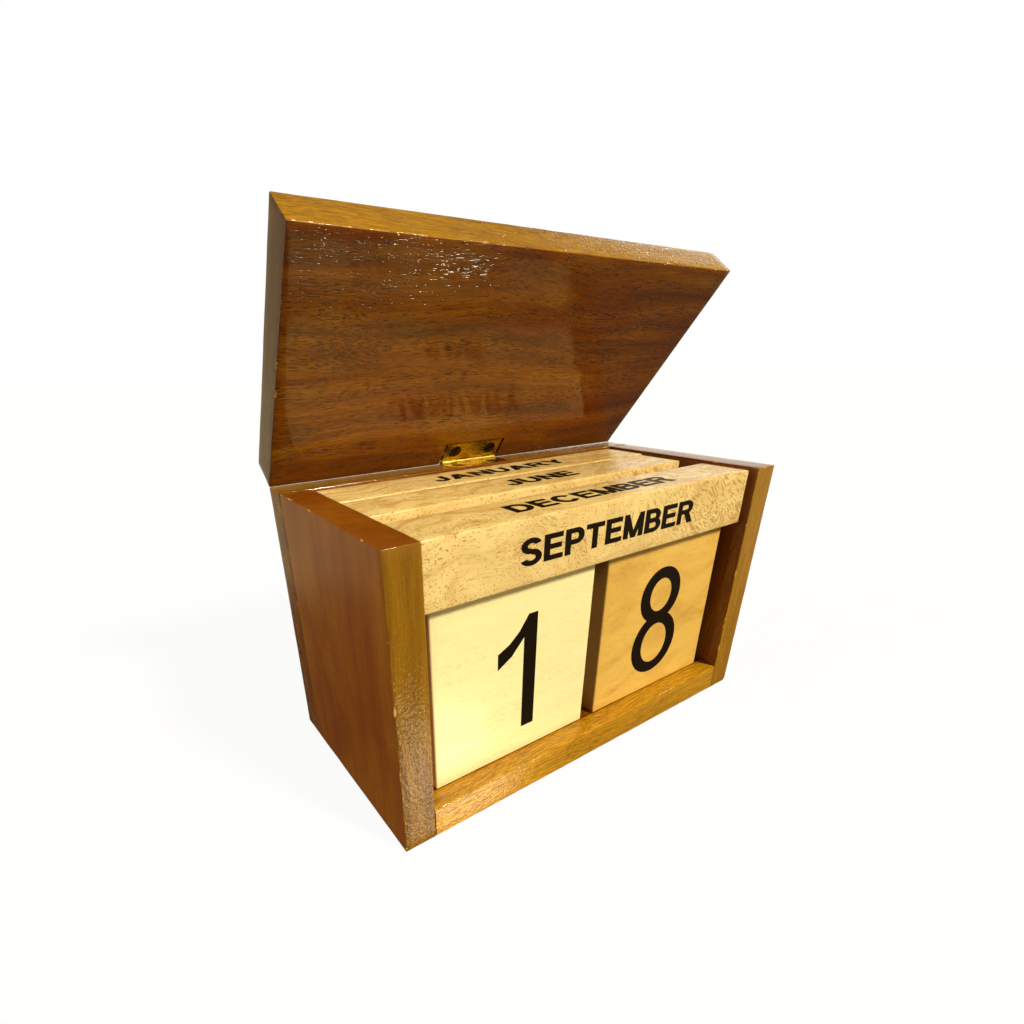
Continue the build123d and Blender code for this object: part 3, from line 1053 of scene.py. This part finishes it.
def joined(pieces, name):
    """Joins pieces into one mesh under a new name."""
    make_active(pieces[0])
    for piece in pieces[1:]:
        piece.select_set(True)
    bpy.ops.object.join()
    result = bpy.context.object
    result.name = name
    result.data.name = name
    return result


class CALENDAR_OT_lettering(bpy.types.Operator):
    """Print the numbers on the cubes and the month names on the bars"""

    bl_idname = "calendar.lettering"
    bl_label = "Numbers and months"

    def execute(self, context):
        # What is printed, how a sign is drawn, the gap between signs, their height and widening.
        prints = (
            (CUBE_DIGITS, plain_digit, 0.1, sizes().digit_height, 1.0),
            (BAR_MONTHS, bold_capital, 0.09, sizes().month_height, 1.17),
        )
        ink = printing_ink()
        for texts, draw, gap, height, widen in prints:
            used = sorted({sign for faces in texts.values() for sign in "".join(faces.values())})
            masters = {sign: stencil(sign, draw(sign)) for sign in used}
            for node, faces in texts.items():
                made = [
                    place_on_face(printed_word(word, masters, gap, height, widen), node, face)
                    for face, word in faces.items()
                ]
                whole = joined(made, f"{node}_print")
                dress(whole, ink, body_name(node), WOOD_SLOTS[node])
            for master, _ in masters.values():
                bpy.data.objects.remove(master)
        return {"FINISHED"}


# ---- hardware ----


class CALENDAR_OT_hardware(bpy.types.Operator):
    """Finish the hinge leaves, pin, screws and hidden dowels"""

    bl_idname = "calendar.hardware"
    bl_label = "Hinge, screws and dowels"

    def execute(self, context):
        tint = colours()
        brass = rolled_brass()
        for name in ("hinge_leaf_box", "hinge_leaf_lid"):
            coat_node(name, brass)
        coat_node("hinge_pin", bronzed_steel("drawn_steel_pin", "#8C8880", 0.3))
        bronze = bronzed_steel("bronzed_screw_steel", tint.screw, 0.35)
        for name in frame["nodes"]:
            if "_leaf_screw_" in name:
                coat_node(name, bronze)
        beech = pale_hardwood("turned_beech_dowel", "#C9A36B", (0, 0, 0), 0.5, 0.1, 0.3)
        for name in frame["nodes"]:
            if name.endswith("_dowels"):
                coat_node(name, beech)
        return {"FINISHED"}


# ---- stage ----


# Where the lights stand or look, in metres, and how wide they spread, in degrees.
KEY_PLACE, KEY_SPREAD = (0.4, -0.9, 0.8), 9
SIDE_PLACE, SIDE_SPREAD = (-0.85, 0.25, 0.35), 30
CARD_PLACE, CARD_TARGET = (-0.035, -0.0925, -0.04), (-0.066, -0.0375, -0.006)
CARD_SIZE, CARD_SPREAD = (0.06, 0.055), 64
# Which way the rear window lies, and the cosines between which its pane fades in.
PANE_WAY, PANE_START, PANE_FULL = (0.86, 0.48, 0.17), 0.93, 0.96


def lamp(kind, name, place, target, energy, spread, code):
    """A light of one kind that stands at a place and looks at a target."""
    deselect_all()
    bpy.ops.object.light_add(type=kind, location=place)
    light = bpy.context.object
    light.name = name
    light.data.energy = energy
    light.data.color = linear(code)[:3]
    setattr(light.data, "angle" if kind == "SUN" else "spread", math.radians(spread))
    light.rotation_euler = (Vector(target) - light.location).to_track_quat("-Z", "Y").to_euler()
    return light


def low_card(power):
    """A glowing card with a grid, below the table's edge: a gleam low on the front's lacquer."""
    card = lamp("AREA", "low_card", CARD_PLACE, CARD_TARGET, power, CARD_SPREAD, "#FFEBBE")
    card.data.shape = "RECTANGLE"
    card.data.size, card.data.size_y = CARD_SIZE
    card.visible_camera = False


def studio_room(stage):
    """A white backdrop behind everything, pale walls and ceiling, and little light from below."""
    world = bpy.data.worlds.new("pale_room")
    bpy.context.scene.world = world
    world.use_nodes = True
    tree = world.node_tree
    tree.nodes.clear()
    output = add(tree, "OutputWorld")
    way = add(tree, "TexCoord").outputs["Generated"]
    height = add(tree, "SeparateXYZ", {0: way}).outputs["Z"]
    height = add(tree, "MapRange", {0: height, 1: -1.0, 2: 1.0}).outputs[0]
    warm = linear("#FFEDB8")
    below, wall, sky = (tinted(warm, v, v, v) for v in (stage.under, stage.walls, stage.ceiling))
    # Dark until about twenty degrees below level, then bright walls, then a dim ceiling.
    stops = [(0.3, below), (1.0, sky), (0.335, wall), (0.61, wall), (0.7, sky)]
    room = add(tree, "ValToRGB", {"Fac": height}, stops).outputs[0]
    # A bright window in the wall behind, on the right.
    facing = {0: way, 1: PANE_WAY}
    facing = add(tree, "VectorMath", facing, operation="DOT_PRODUCT").outputs["Value"]
    pane = add(tree, "MapRange", {0: facing, 1: PANE_START, 2: PANE_FULL}).outputs[0]
    bright = tinted(linear("#FFF6E4"), stage.window, stage.window, stage.window)
    seen = add(tree, "LightPath").outputs["Is Camera Ray"]
    shade = layered(tree, room, (pane, bright), (seen, linear("#FFFFFF")))
    light = add(tree, "Background", {"Color": shade, "Strength": 1.0})
    tree.links.new(light.outputs["Background"], output.inputs["Surface"])


def studio_camera(stage):
    """The camera, its lens shift small enough for every other view."""
    azimuth, elevation, roll = stage.camera_turn
    forward = Vector((
        math.sin(azimuth) * math.cos(elevation),
        math.cos(azimuth) * math.cos(elevation),
        -math.sin(elevation),
    ))
    deselect_all()
    bpy.ops.object.camera_add(location=stage.camera_place)
    camera = bpy.context.object
    camera.name = "studio_camera"
    camera.rotation_mode = "QUATERNION"
    look = forward.to_track_quat("-Z", "Y")
    camera.rotation_quaternion = look @ Matrix.Rotation(roll, 3, "Z").to_quaternion()
    camera.data.lens = stage.lens
    camera.data.sensor_width = 36.0
    camera.data.shift_x, camera.data.shift_y = stage.shift
    camera.data.clip_start = 0.005
    camera.data.clip_end = 50.0
    bpy.context.scene.camera = camera


class CALENDAR_OT_stage(bpy.types.Operator):
    """Set the plain floor, the soft lights and the camera"""

    bl_idname = "calendar.stage"
    bl_label = "Stage"

    def execute(self, context):
        stage = context.scene.calendar_stage
        deselect_all()
        bpy.ops.mesh.primitive_plane_add(size=12.0, location=(0, 0, 0))
        floor = bpy.context.object
        floor.name = "studio_floor"
        floor.data.materials.append(light_table())
        # Two broad distant lights reach the whole floor evenly.
        for name, place, energy, spread, code in (
            ("key_window", KEY_PLACE, stage.key_strength, KEY_SPREAD, "#FFF1D0"),
            ("side_window", SIDE_PLACE, stage.side_strength, SIDE_SPREAD, "#FFEFC4"),
        ):
            lamp("SUN", name, place, (0, 0, 0), energy, spread, code)
        low_card(stage.card_power)
        studio_room(stage)
        studio_camera(stage)
        context.scene.view_settings.view_transform = "Standard"
        return {"FINISHED"}


class CALENDAR_PT_panel(bpy.types.Panel):
    """Lists the calendar's pieces and settings in the sidebar"""

    bl_idname = "CALENDAR_PT_panel"
    bl_label = "Desk Calendar"
    bl_space_type = "VIEW_3D"
    bl_region_type = "UI"
    bl_category = "Calendar"

    def draw(self, context):
        for group in (context.scene.calendar_sizes, context.scene.calendar_colours,
                      context.scene.calendar_stage):
            column = self.layout.column(align=True)
            for key in group.__annotations__:
                column.prop(group, key)
        for operator in OPERATORS:
            self.layout.operator(operator.bl_idname)


OPERATORS = (
    CALENDAR_OT_box,
    CALENDAR_OT_lid,
    CALENDAR_OT_cubes,
    CALENDAR_OT_bars,
    CALENDAR_OT_lettering,
    CALENDAR_OT_hardware,
    CALENDAR_OT_stage,
)
GROUPS = {
    "calendar_sizes": CalendarSizes,
    "calendar_colours": CalendarColours,
    "calendar_stage": CalendarStage,
}
CLASSES = (*GROUPS.values(), *OPERATORS, CALENDAR_PT_panel)


def register():
    for item in CLASSES:
        bpy.utils.register_class(item)
    for key, group in GROUPS.items():
        setattr(bpy.types.Scene, key, bpy.props.PointerProperty(type=group))


def unregister():
    for key in GROUPS:
        delattr(bpy.types.Scene, key)
    for item in reversed(CLASSES):
        bpy.utils.unregister_class(item)


def main():
    register()
    bpy.ops.calendar.box()
    bpy.ops.calendar.lid()
    bpy.ops.calendar.cubes()
    bpy.ops.calendar.bars()
    bpy.ops.calendar.lettering()
    bpy.ops.calendar.hardware()
    bpy.ops.calendar.stage()


if __name__ == "__main__":
    main()
